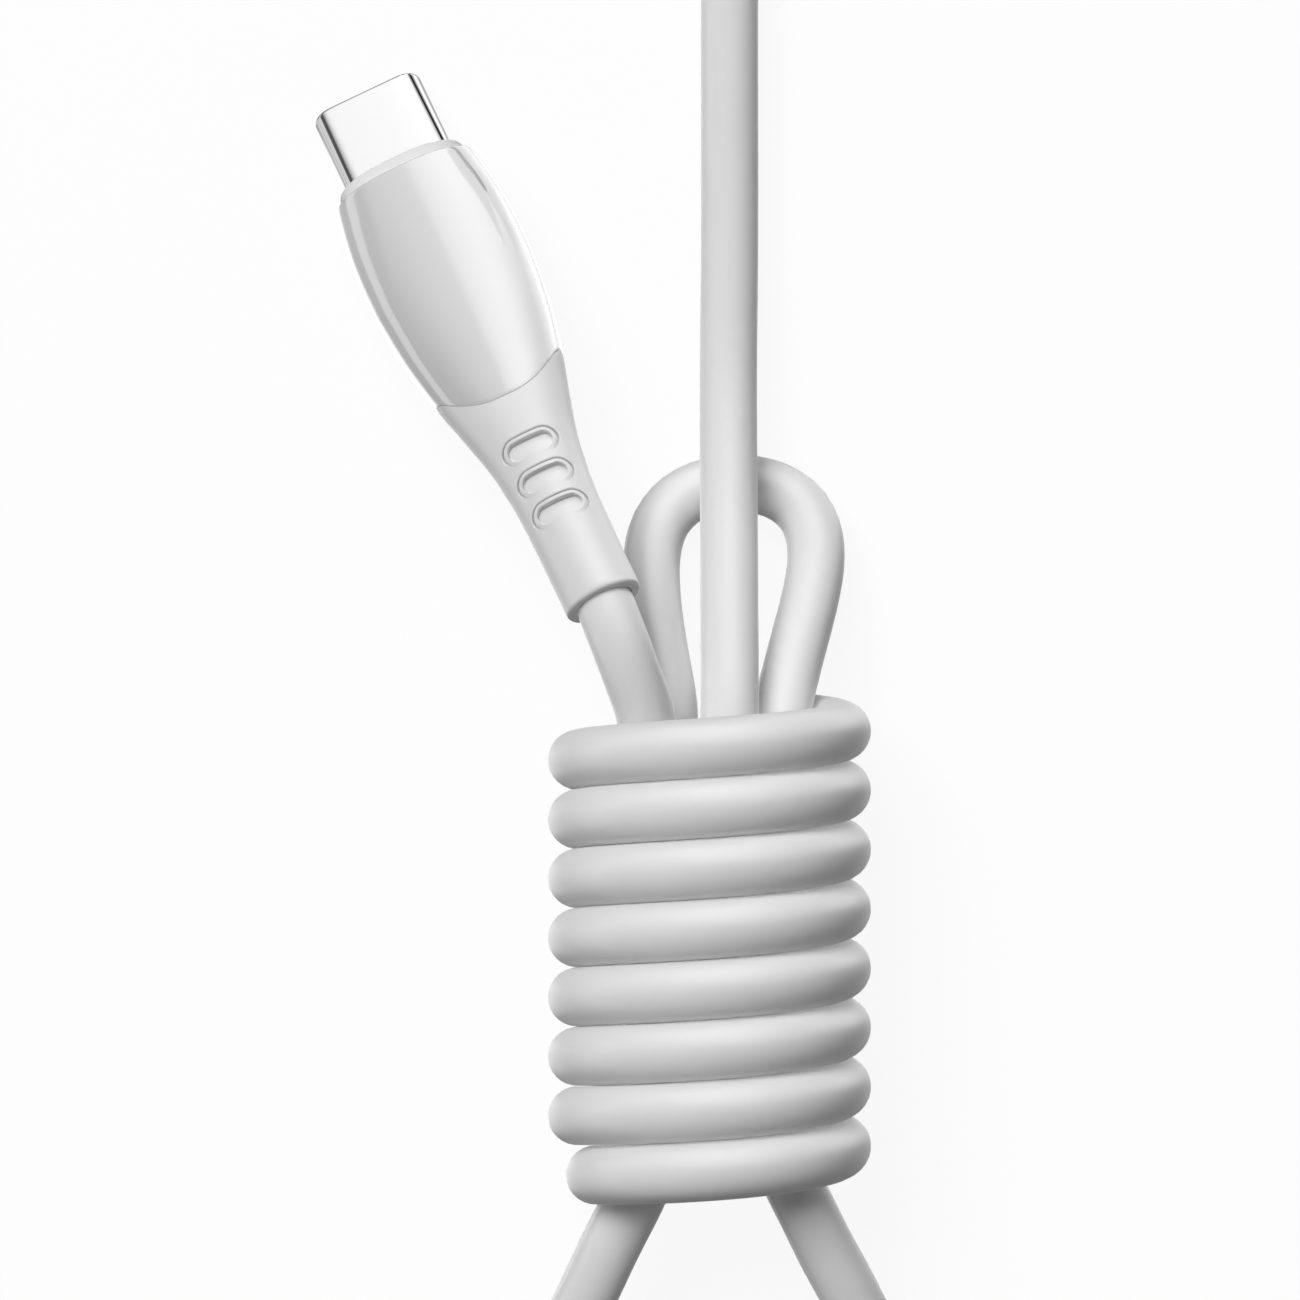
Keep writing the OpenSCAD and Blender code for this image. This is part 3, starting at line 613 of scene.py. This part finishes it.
def cord_line():
    """The cord's middle line, with its corners eased, and its length."""
    line, _ = evenly(through(cord_route(), 0.25), 0.5)
    for _ in range(20):
        line[1:-1] = 0.25 * line[:-2] + 0.5 * line[1:-1] + 0.25 * line[2:]
    return evenly(line, 0.8)


def tube(line, radius, sides=28):
    """Rings round a line, carried along it without twist, and a cap at each end."""
    ahead = np.gradient(line, axis=0)
    ahead /= np.linalg.norm(ahead, axis=1)[:, None]
    side = np.cross(ahead[0], (0, 0, 1.0))
    side /= np.linalg.norm(side)
    a = np.linspace(0, 2 * math.pi, sides, endpoint=False)
    rings = []
    for p, t in zip(line, ahead):
        side = side - t * np.dot(side, t)
        side /= np.linalg.norm(side)
        up = np.cross(t, side)
        rings.append(p + radius * (np.cos(a)[:, None] * side + np.sin(a)[:, None] * up))
    faces = bands(len(rings), sides)
    faces += [tuple(range(sides)), tuple(range((len(rings) - 1) * sides, len(rings) * sides))]
    return np.concatenate(rings), faces


# ---- Finishes ----

FINISHES = {}
MIX_A, MIX_B, MIX_RESULT = 6, 7, 2  # a Mix node's sockets for colours
# Painted shade: the dark colour that the boot's finish mixes in where its slots' creases and
# walls would be in shade
CREASE_SHADE_COLOUR = (0.06, 0.06, 0.06)
# Painted reflection: the steel's colour by how far it leans away from the eye, brighter or darker
# as its reflection of the surroundings would be: 0 is square on, 1 is edge on
STEEL_PAINTED_SHEEN = ((0.14, 1.0), (0.17, 0.6), (0.19, 0.38), (0.22, 0.45), (0.26, 0.7), (0.34, 0.65),
              (0.38, 0.85), (0.43, 1.9), (0.52, 1.9), (0.6, 1.0), (0.75, 0.9), (1.0, 1.3))
# Painted reflection: narrow dark lines on the steel, by how far a side faces sideways: -1 is one
# side, 1 is the other
STEEL_PAINTED_LINES = ((-1, 0.3), (-0.985, 0.15), (-0.96, 0.03), (-0.93, 0.05), (-0.9, 0.7),
               (-0.86, 1), (0.42, 1), (0.5, 0.2), (0.53, 0.03), (0.58, 0.05), (0.65, 0.4),
               (0.74, 0.45), (0.88, 0.4), (0.93, 0.4), (0.965, 0.12), (1, 0.3))


def new_material(name, **values):
    """A material, and its nodes when it is new. Plain values go on the shader's own sockets."""
    if name in FINISHES:
        return FINISHES[name], None, None
    m = FINISHES[name] = bpy.data.materials.new("cable_" + name)
    m.use_nodes = True
    nodes, links = m.node_tree.nodes, m.node_tree.links
    shader = nodes["Principled BSDF"]
    for key, value in values.items():
        shader.inputs[key.replace("_", " ").title().replace("Ior", "IOR")].default_value = value
    return m, nodes, links


def grain(nodes, links, scale, strength, roughness, distance=0.00002):
    """A fine texture in the surface: a bump, and a little change of its roughness."""
    shader = nodes["Principled BSDF"]
    place = nodes.new("ShaderNodeTexCoord")
    noise = nodes.new("ShaderNodeTexNoise")
    noise.inputs["Scale"].default_value = scale
    noise.inputs["Detail"].default_value = 3
    bump = nodes.new("ShaderNodeBump")
    bump.inputs["Strength"].default_value = strength
    bump.inputs["Distance"].default_value = distance
    spread = nodes.new("ShaderNodeMapRange")
    spread.inputs["To Min"].default_value, spread.inputs["To Max"].default_value = roughness
    links.new(place.outputs["Object"], noise.inputs["Vector"])
    links.new(noise.outputs["Fac"], bump.inputs["Height"])
    links.new(bump.outputs["Normal"], shader.inputs["Normal"])
    links.new(noise.outputs["Fac"], spread.inputs["Value"])
    links.new(spread.outputs["Result"], shader.inputs["Roughness"])


def tone(nodes, name):
    """The value that set_tone gave each point of a piece. It is nothing on other pieces."""
    node = nodes.new("ShaderNodeAttribute")
    node.attribute_name = name
    return node.outputs["Fac"]


def shade_ramp(nodes, rows):
    """A colour ramp through rows of position, red, green and blue."""
    ramp = nodes.new("ShaderNodeValToRGB")
    while len(ramp.color_ramp.elements) < len(rows):
        ramp.color_ramp.elements.new(0.5)
    for e, (at, *colour) in zip(ramp.color_ramp.elements, rows):
        e.position, e.color = at, (*colour, 1)
    return ramp


def cord_white():
    m, nodes, links = new_material("cord_white", base_color=(*settings("cord").colour, 1),
                                   specular_ior_level=0.45, subsurface_weight=0.4,
                                   subsurface_scale=0.0015, subsurface_radius=(1, 1, 1))
    if nodes:
        grain(nodes, links, 5200, 0.06, (0.36, 0.44))
    return m


def soft_white():
    m, nodes, links = new_material("boot_white", base_color=(*settings("plugs").boot_colour, 1),
                                   specular_ior_level=0.7, subsurface_weight=0.15,
                                   subsurface_scale=0.0004, subsurface_radius=(1, 1, 1))
    if nodes:
        grain(nodes, links, 6500, 0.08, (0.38, 0.46))
        # Painted shade: the boot's colour turns dark where the slots' creases and walls would be
        # in shade
        crease_shade_mix = nodes.new("ShaderNodeMix")
        crease_shade_mix.data_type = "RGBA"
        crease_shade_mix.inputs[MIX_A].default_value = (*settings("plugs").boot_colour, 1)
        crease_shade_mix.inputs[MIX_B].default_value = (*CREASE_SHADE_COLOUR, 1)
        links.new(tone(nodes, "crease_shade"), crease_shade_mix.inputs["Factor"])
        links.new(crease_shade_mix.outputs[MIX_RESULT], nodes["Principled BSDF"].inputs["Base Color"])
    return m


def collar_grey():
    m, nodes, links = new_material("collar_grey", specular_ior_level=0.3,
                                   base_color=(*settings("plugs").collar_colour, 1))
    if nodes:
        grain(nodes, links, 9000, 0.12, (0.55, 0.65))
    return m


def gloss_white():
    m, nodes, links = new_material("gloss_white", coat_weight=1.0, coat_roughness=0.03,
                                   base_color=(*settings("plugs").gloss_colour, 1),
                                   coat_ior=1.6, specular_ior_level=0.25)
    if nodes:
        grain(nodes, links, 160, 0.02, (0.14, 0.2), distance=0.00004)
    return m


def polished_steel():
    steel = settings("plugs").steel_colour
    m, nodes, links = new_material("polished_steel", metallic=1.0, base_color=(*steel, 1),
                                   specular_tint=(0.7, 0.7, 0.7, 1))
    if nodes:
        grain(nodes, links, 900, 0.015, (0.05, 0.08))
        # Painted reflection: the base colour follows the steel's lean away from the eye
        lean = nodes.new("ShaderNodeLayerWeight")
        shade = shade_ramp(nodes, [(at, *(share * c for c in steel)) for at, share in STEEL_PAINTED_SHEEN])
        links.new(lean.outputs["Facing"], shade.inputs["Fac"])
        # Painted reflection: dark lines by the sideways tilt that set_tone gave the points
        span = nodes.new("ShaderNodeMapRange")
        span.inputs["From Min"].default_value = -1
        links.new(tone(nodes, "tilt"), span.inputs["Value"])
        lines = shade_ramp(nodes, [((at + 1) / 2, *[share] * 3) for at, share in STEEL_PAINTED_LINES])
        links.new(span.outputs["Result"], lines.inputs["Fac"])
        both = nodes.new("ShaderNodeMix")
        both.data_type, both.blend_type = "RGBA", "MULTIPLY"
        both.inputs["Factor"].default_value = 1
        links.new(shade.outputs["Color"], both.inputs[MIX_A])
        links.new(lines.outputs["Color"], both.inputs[MIX_B])
        links.new(both.outputs[MIX_RESULT], nodes["Principled BSDF"].inputs["Base Color"])
    return m


PLAIN = {  # colour, metallic, roughness, grain scale, grain strength
    "sheet_steel": ((0.62, 0.62, 0.63), 1.0, (0.25, 0.4), 1500, 0.1),
    "gold_plating": ((0.86, 0.62, 0.25), 1.0, (0.16, 0.28), 1800, 0.08),
    "black_nylon": ((0.02, 0.02, 0.022), 0.0, (0.4, 0.55), 6000, 0.15),
    "white_nylon": ((0.75, 0.75, 0.73), 0.0, (0.4, 0.5), 6000, 0.12),
    "board_laminate": ((0.02, 0.14, 0.06), 0.0, (0.25, 0.4), 4000, 0.1),
    "resistor_body": ((0.02, 0.02, 0.02), 0.0, (0.3, 0.5), 9000, 0.2),
    "inner_white": ((0.74, 0.74, 0.72), 0.0, (0.45, 0.6), 5000, 0.12),
    "wire_red": ((0.45, 0.02, 0.015), 0.0, (0.35, 0.5), 5000, 0.1),
    "wire_black": ((0.015, 0.015, 0.015), 0.0, (0.35, 0.5), 5000, 0.1),
    "wire_green": ((0.02, 0.24, 0.05), 0.0, (0.35, 0.5), 5000, 0.1),
    "wire_white": ((0.74, 0.74, 0.72), 0.0, (0.35, 0.5), 5000, 0.1),
}


def plain_finish(slot):
    """The finish of a piece inside a plug."""
    colour, metallic, roughness, scale, strength = PLAIN[slot]
    m, nodes, links = new_material(slot, base_color=(*colour, 1), metallic=metallic)
    if nodes:
        grain(nodes, links, scale, strength, roughness)
    return m


# ---- Stage: its places in metres, and the surroundings that only shiny surfaces reflect ----

CAMERA_PLACE = (-0.00416, -0.00473, 0.4525)
CAMERA_LENS = 174.46
LAMP_PLACE = (-0.23, 0.33, 0.65)
LAMP_SIZE = 0.45
FLOOR_SIZE = 6
FLOOR_SHADE = 0.08  # how much of the light and shadow on it the floor shows

BRIGHTEST = 7
# Brightness by the angle round the table, in degrees from the +Y side
STEEP_BELOW = ((-180, 0.3), (-140, 0.3), (-120, 2.2), (-75, 2.2), (-60, 0.6), (20, 0.6),
               (40, 1.8), (70, 1.8), (84, 1.2), (110, 1.2), (140, 0.3), (180, 0.3))
BELOW = ((-180, 0.3), (-132, 0.3), (-118, 0.9), (-85, 0.9), (-75, 0.3), (0, 0.3), (13, 3.0),
         (43, 3.5), (49, 4.6), (66, 4.6), (76, 0.5), (110, 0.6), (150, 0.3), (180, 0.3))
ABOVE = ((-180, 1.0), (-120, 1.0), (-92, 0.15), (-78, 0.6), (-50, 1.5), (-33, 2.2), (-27, 2.4),
         (-25, 2.6), (-21, 4.2), (-12, 5.2), (2, 6.0), (15, 6.2), (25, 5.8), (45, 4.0),
         (60, 3.8), (74, 1.0), (180, 1.0))
OVERHEAD = 0.6
# The heights between which one turns into the next: -1 is straight down, 1 is straight up
TO_BELOW, TO_ABOVE, TO_OVERHEAD = (-0.85, -0.6), (-0.06, 0.04), (0.84, 0.96)
# Patches: first and last angle in radians and soft edge, the same for heights, brightness
LEFT_SIDE = (-2.2, -1.0, 0.1)
PATCHES = ((LEFT_SIDE, (-0.18, 0.17, 0.05), 2.5), (LEFT_SIDE, (0.22, 0.46, 0.06), 0.5),
           ((0.28, 0.58, 0.03), (-0.06, 0.28, 0.04), 3.6))


def feed(links, socket, value):
    """Sets a socket to a number, or links it to another socket."""
    if isinstance(value, (int, float)):
        socket.default_value = value
    else:
        links.new(value, socket)


def combine(nodes, links, operation, a, b):
    """The result of a Math node."""
    node = nodes.new("ShaderNodeMath")
    node.operation = operation
    feed(links, node.inputs[0], a)
    feed(links, node.inputs[1], b)
    return node.outputs[0]


def seen_by(nodes, links, *rays):
    """One for the named rays of the Light Path node, nothing for the others."""
    path = nodes.new("ShaderNodeLightPath")
    value = path.outputs[rays[0]]
    for ray in rays[1:]:
        value = combine(nodes, links, "MAXIMUM", value, path.outputs[ray])
    return value


def rise(nodes, links, value, low, high):
    """Nothing at low, one at high, and smooth between them."""
    spread = nodes.new("ShaderNodeMapRange")
    spread.interpolation_type = "SMOOTHSTEP"
    spread.inputs["From Min"].default_value = low
    spread.inputs["From Max"].default_value = high
    links.new(value, spread.inputs["Value"])
    return spread.outputs["Result"]


def within(nodes, links, value, low, high, edge):
    """One between low and high, nothing outside, with soft edges."""
    return combine(nodes, links, "MULTIPLY",
                   rise(nodes, links, value, low - edge, low + edge),
                   rise(nodes, links, value, high + edge, high - edge))


def blend(nodes, links, share, low, high):
    """Goes from one brightness to another; each may be a number or a socket."""
    mix = nodes.new("ShaderNodeMix")
    links.new(share, mix.inputs["Factor"])
    feed(links, mix.inputs["A"], low)
    feed(links, mix.inputs["B"], high)
    return mix.outputs["Result"]


def brightness_round(nodes, links, around, rows):
    """Brightness by the angle round the table."""
    turn = nodes.new("ShaderNodeMapRange")
    turn.inputs["From Min"].default_value = -math.pi
    turn.inputs["From Max"].default_value = math.pi
    links.new(around, turn.inputs["Value"])
    ring = shade_ramp(nodes, [((angle + 180) / 360, *[value / BRIGHTEST] * 3)
                              for angle, value in rows])
    links.new(turn.outputs["Result"], ring.inputs["Fac"])
    return combine(nodes, links, "MULTIPLY", ring.outputs["Color"], BRIGHTEST)


def reflected_brightness(nodes, links):
    """The brightness of the surroundings in each direction."""
    place = nodes.new("ShaderNodeTexCoord")
    parts = nodes.new("ShaderNodeSeparateXYZ")
    links.new(place.outputs["Generated"], parts.inputs[0])
    height = parts.outputs["Z"]
    around = combine(nodes, links, "ARCTAN2", parts.outputs["X"], parts.outputs["Y"])
    level = brightness_round(nodes, links, around, STEEP_BELOW)
    for heights, above in ((TO_BELOW, brightness_round(nodes, links, around, BELOW)),
                           (TO_ABOVE, brightness_round(nodes, links, around, ABOVE)),
                           (TO_OVERHEAD, OVERHEAD)):
        level = blend(nodes, links, rise(nodes, links, height, *heights), level, above)
    for angles, heights, value in PATCHES:
        share = combine(nodes, links, "MULTIPLY", within(nodes, links, around, *angles),
                        within(nodes, links, height, *heights))
        level = blend(nodes, links, share, level, value)
    return level


def floor_white(colour):
    """A floor that looks white, shows a faint shadow, and throws little light back."""
    m = bpy.data.materials.new("floor_white")
    m.use_nodes = True
    nodes, links = m.node_tree.nodes, m.node_tree.links
    nodes.clear()
    out = nodes.new("ShaderNodeOutputMaterial")
    grey = nodes.new("ShaderNodeBsdfDiffuse")
    grey.inputs["Color"].default_value = (*colour, 1)
    white = nodes.new("ShaderNodeBsdfDiffuse")
    white.inputs["Color"].default_value = (1, 1, 1, 1)
    glow = nodes.new("ShaderNodeEmission")
    seen = nodes.new("ShaderNodeMixShader")
    seen.inputs["Fac"].default_value = FLOOR_SHADE
    links.new(glow.outputs[0], seen.inputs[1])
    links.new(white.outputs[0], seen.inputs[2])
    both = nodes.new("ShaderNodeMixShader")
    links.new(seen_by(nodes, links, "Is Camera Ray", "Is Glossy Ray", "Is Transmission Ray"),
              both.inputs["Fac"])
    links.new(grey.outputs[0], both.inputs[1])
    links.new(seen.outputs[0], both.inputs[2])
    links.new(both.outputs[0], out.inputs["Surface"])
    return m


# ---- Operators ----


class CABLE_OT_camera(bpy.types.Operator):
    """Adds the camera, straight above the cable"""
    bl_idname = "cable.camera"
    bl_label = "Camera"

    def execute(self, context):
        bpy.ops.object.camera_add(location=CAMERA_PLACE, rotation=(0, 0, 0))
        camera = context.active_object
        camera.name = "camera"
        camera.data.sensor_width = 36
        camera.data.lens = CAMERA_LENS
        camera.data.clip_start, camera.data.clip_end = 0.01, 20
        context.scene.camera = camera
        return {"FINISHED"}


class CABLE_OT_cord(bpy.types.Operator):
    """Adds the cord, in one length from plug to plug"""
    bl_idname = "cable.cord"
    bl_label = "Cord"

    def execute(self, context):
        line, _ = cord_line()
        points, faces = tube(line * MM, settings("cord").diameter / 2)
        piece = mesh_piece("cord", points, faces, cord_white(), 60)
        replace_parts(piece, "wound_coil", "cord_to_plug", "cord_top_loop", "cord_lower_loop_1",
                    "cord_lower_loop_2", "cord_tail")
        return {"FINISHED"}


class CABLE_OT_shells(bpy.types.Operator):
    """Adds the polished steel shells of both plugs"""
    bl_idname = "cable.shells"
    bl_label = "Steel shells"

    def execute(self, context):
        c, a = plugs()
        points, faces = make_shell(c, usb_c_ring, USB_C_SHELL_WALL, USB_C_SHELL_LENGTH,
                                   side_round=0.55, face_round=0.16)
        piece = mesh_piece("usb_c_steel_shell", points, faces, polished_steel())
        # Painted reflection: how far each point faces sideways places the steel's painted dark
        # lines
        sideways = -Vector(c.place.col[0][:3]).normalized()
        set_tone(piece, "tilt", [v.normal.dot(sideways) for v in piece.data.vertices])
        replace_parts(piece, "usb_c_shell")
        points, faces = make_shell(a, usb_a_ring, USB_A_SHELL_WALL, USB_A_SHELL_LENGTH,
                                   side_round=0.3, face_round=0.25)
        piece = mesh_piece("usb_a_steel_shell", points, faces, polished_steel())
        for side in (-WINDOW_SIDE, WINDOW_SIDE):
            cut(piece, a, (WINDOW_SIZE, WINDOW_SIZE, 2 * USB_A_SHELL_THICKNESS),
                (side, WINDOW_BACK, 0))
        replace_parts(piece, "usb_a_shell")
        return {"FINISHED"}


class CABLE_OT_collars(bpy.types.Operator):
    """Adds the matt collars in front of the sleeves"""
    bl_idname = "cable.collars"
    bl_label = "Collars"

    def execute(self, context):
        c, a = plugs()
        make_collar(c, 0.89, usb_c_ring(-SHELL_FIT))
        make_collar(a, 0.93, usb_a_ring(-SHELL_FIT))
        return {"FINISHED"}


class CABLE_OT_sleeves(bpy.types.Operator):
    """Adds the gloss sleeves of both plugs"""
    bl_idname = "cable.sleeves"
    bl_label = "Gloss sleeves"

    def execute(self, context):
        for plug in plugs():
            make_sleeve(plug)
        return {"FINISHED"}


class CABLE_OT_boots(bpy.types.Operator):
    """Adds the soft boots with their slots"""
    bl_idname = "cable.boots"
    bl_label = "Soft boots"

    def execute(self, context):
        c, a = plugs()
        make_boot(c)
        make_boot(a, fine=False)
        return {"FINISHED"}


class CABLE_OT_lay_cord(bpy.types.Operator):
    """Hides the cord from mirror reflections; it works out the cord's line and length, but
    nothing uses them
    """
    bl_idname = "cable.lay_cord"
    bl_label = "Cord's length and ends"

    def execute(self, context):
        line, length = cord_line()
        cord = bpy.data.objects["cord"]
        cord.visible_glossy = False
        settings("cord").diameter
        return {"FINISHED"}


class CABLE_OT_inner_pieces(bpy.types.Operator):
    """Gives the pieces inside the plugs their finishes"""
    bl_idname = "cable.inner_pieces"
    bl_label = "Inner pieces"

    def execute(self, context):
        slots = {row["node"]: row["material_slot"] for row in frame["record"]["subparts"]}
        for name, node in NODES.items():
            if node.hide_render:
                continue
            node.data.materials.clear()
            node.data.materials.append(plain_finish(slots[name]))
        return {"FINISHED"}


class CABLE_OT_stage(bpy.types.Operator):
    """Adds the floor, the soft lamp and the surroundings"""
    bl_idname = "cable.stage"
    bl_label = "Stage"

    def execute(self, context):
        s = settings("stage")
        self.floor(s.floor_colour)
        self.key_lamp(s.key)
        self.surroundings(s.fill)
        context.scene.view_settings.view_transform = "Standard"
        return {"FINISHED"}

    def floor(self, colour):
        bpy.ops.object.select_all(action="DESELECT")
        bpy.ops.mesh.primitive_plane_add(size=FLOOR_SIZE, location=(0, 0, 0))
        floor = bpy.context.active_object
        floor.name = "floor"
        floor.data.materials.append(floor_white(colour))
        floor.visible_glossy = False

    def key_lamp(self, power):
        bpy.ops.object.light_add(type="AREA", location=LAMP_PLACE)
        lamp = bpy.context.active_object
        lamp.name = "key_lamp"
        lamp.visible_glossy = False
        lamp.data.shape, lamp.data.size, lamp.data.energy = "SQUARE", LAMP_SIZE, power
        lamp.rotation_euler = (-Vector(LAMP_PLACE)).to_track_quat("-Z", "Y").to_euler()

    def surroundings(self, fill):
        """A dim even light on everything, and a studio for what shines to reflect."""
        world = bpy.data.worlds.new("studio")
        bpy.context.scene.world = world
        world.use_nodes = True
        nodes, links = world.node_tree.nodes, world.node_tree.links
        nodes.clear()
        out = nodes.new("ShaderNodeOutputWorld")
        even = nodes.new("ShaderNodeBackground")
        even.inputs["Color"].default_value = (1, 1, 1, 1)
        even.inputs["Strength"].default_value = fill
        studio = nodes.new("ShaderNodeBackground")
        studio.inputs["Color"].default_value = (1, 1, 1, 1)
        links.new(reflected_brightness(nodes, links), studio.inputs["Strength"])
        both = nodes.new("ShaderNodeMixShader")
        links.new(seen_by(nodes, links, "Is Glossy Ray"), both.inputs["Fac"])
        links.new(even.outputs[0], both.inputs[1])
        links.new(studio.outputs[0], both.inputs[2])
        links.new(both.outputs[0], out.inputs["Surface"])


class CABLE_PT_panel(bpy.types.Panel):
    bl_idname = "CABLE_PT_panel"
    bl_label = "Charging Cable"
    bl_space_type = "VIEW_3D"
    bl_region_type = "UI"
    bl_category = "Cable"

    def draw(self, context):
        for group in ("cord", "plugs", "stage"):
            box = self.layout.box()
            box.label(text=group.title())
            data = settings(group)
            for name in data.__annotations__:
                box.prop(data, name)
        for operator in OPERATORS:
            self.layout.operator(operator.bl_idname)


OPERATORS = (CABLE_OT_camera, CABLE_OT_cord, CABLE_OT_shells, CABLE_OT_collars,
             CABLE_OT_sleeves, CABLE_OT_boots, CABLE_OT_lay_cord, CABLE_OT_inner_pieces,
             CABLE_OT_stage)
STEPS = ("camera", "cord", "shells", "collars", "sleeves", "boots", "lay_cord", "inner_pieces",
         "stage")
GROUPS = {"cord": CordSettings, "plugs": PlugSettings, "stage": StageSettings}


def register():
    for cls in (*GROUPS.values(), *OPERATORS, CABLE_PT_panel):
        bpy.utils.register_class(cls)
    for name, cls in GROUPS.items():
        setattr(bpy.types.Scene, "cable_" + name, PointerProperty(type=cls))


def unregister():
    for name in GROUPS:
        delattr(bpy.types.Scene, "cable_" + name)
    for cls in (CABLE_PT_panel, *reversed(OPERATORS), *GROUPS.values()):
        bpy.utils.unregister_class(cls)


def main():
    register()
    for step in STEPS:
        getattr(bpy.ops.cable, step)()


if __name__ == "__main__":
    main()
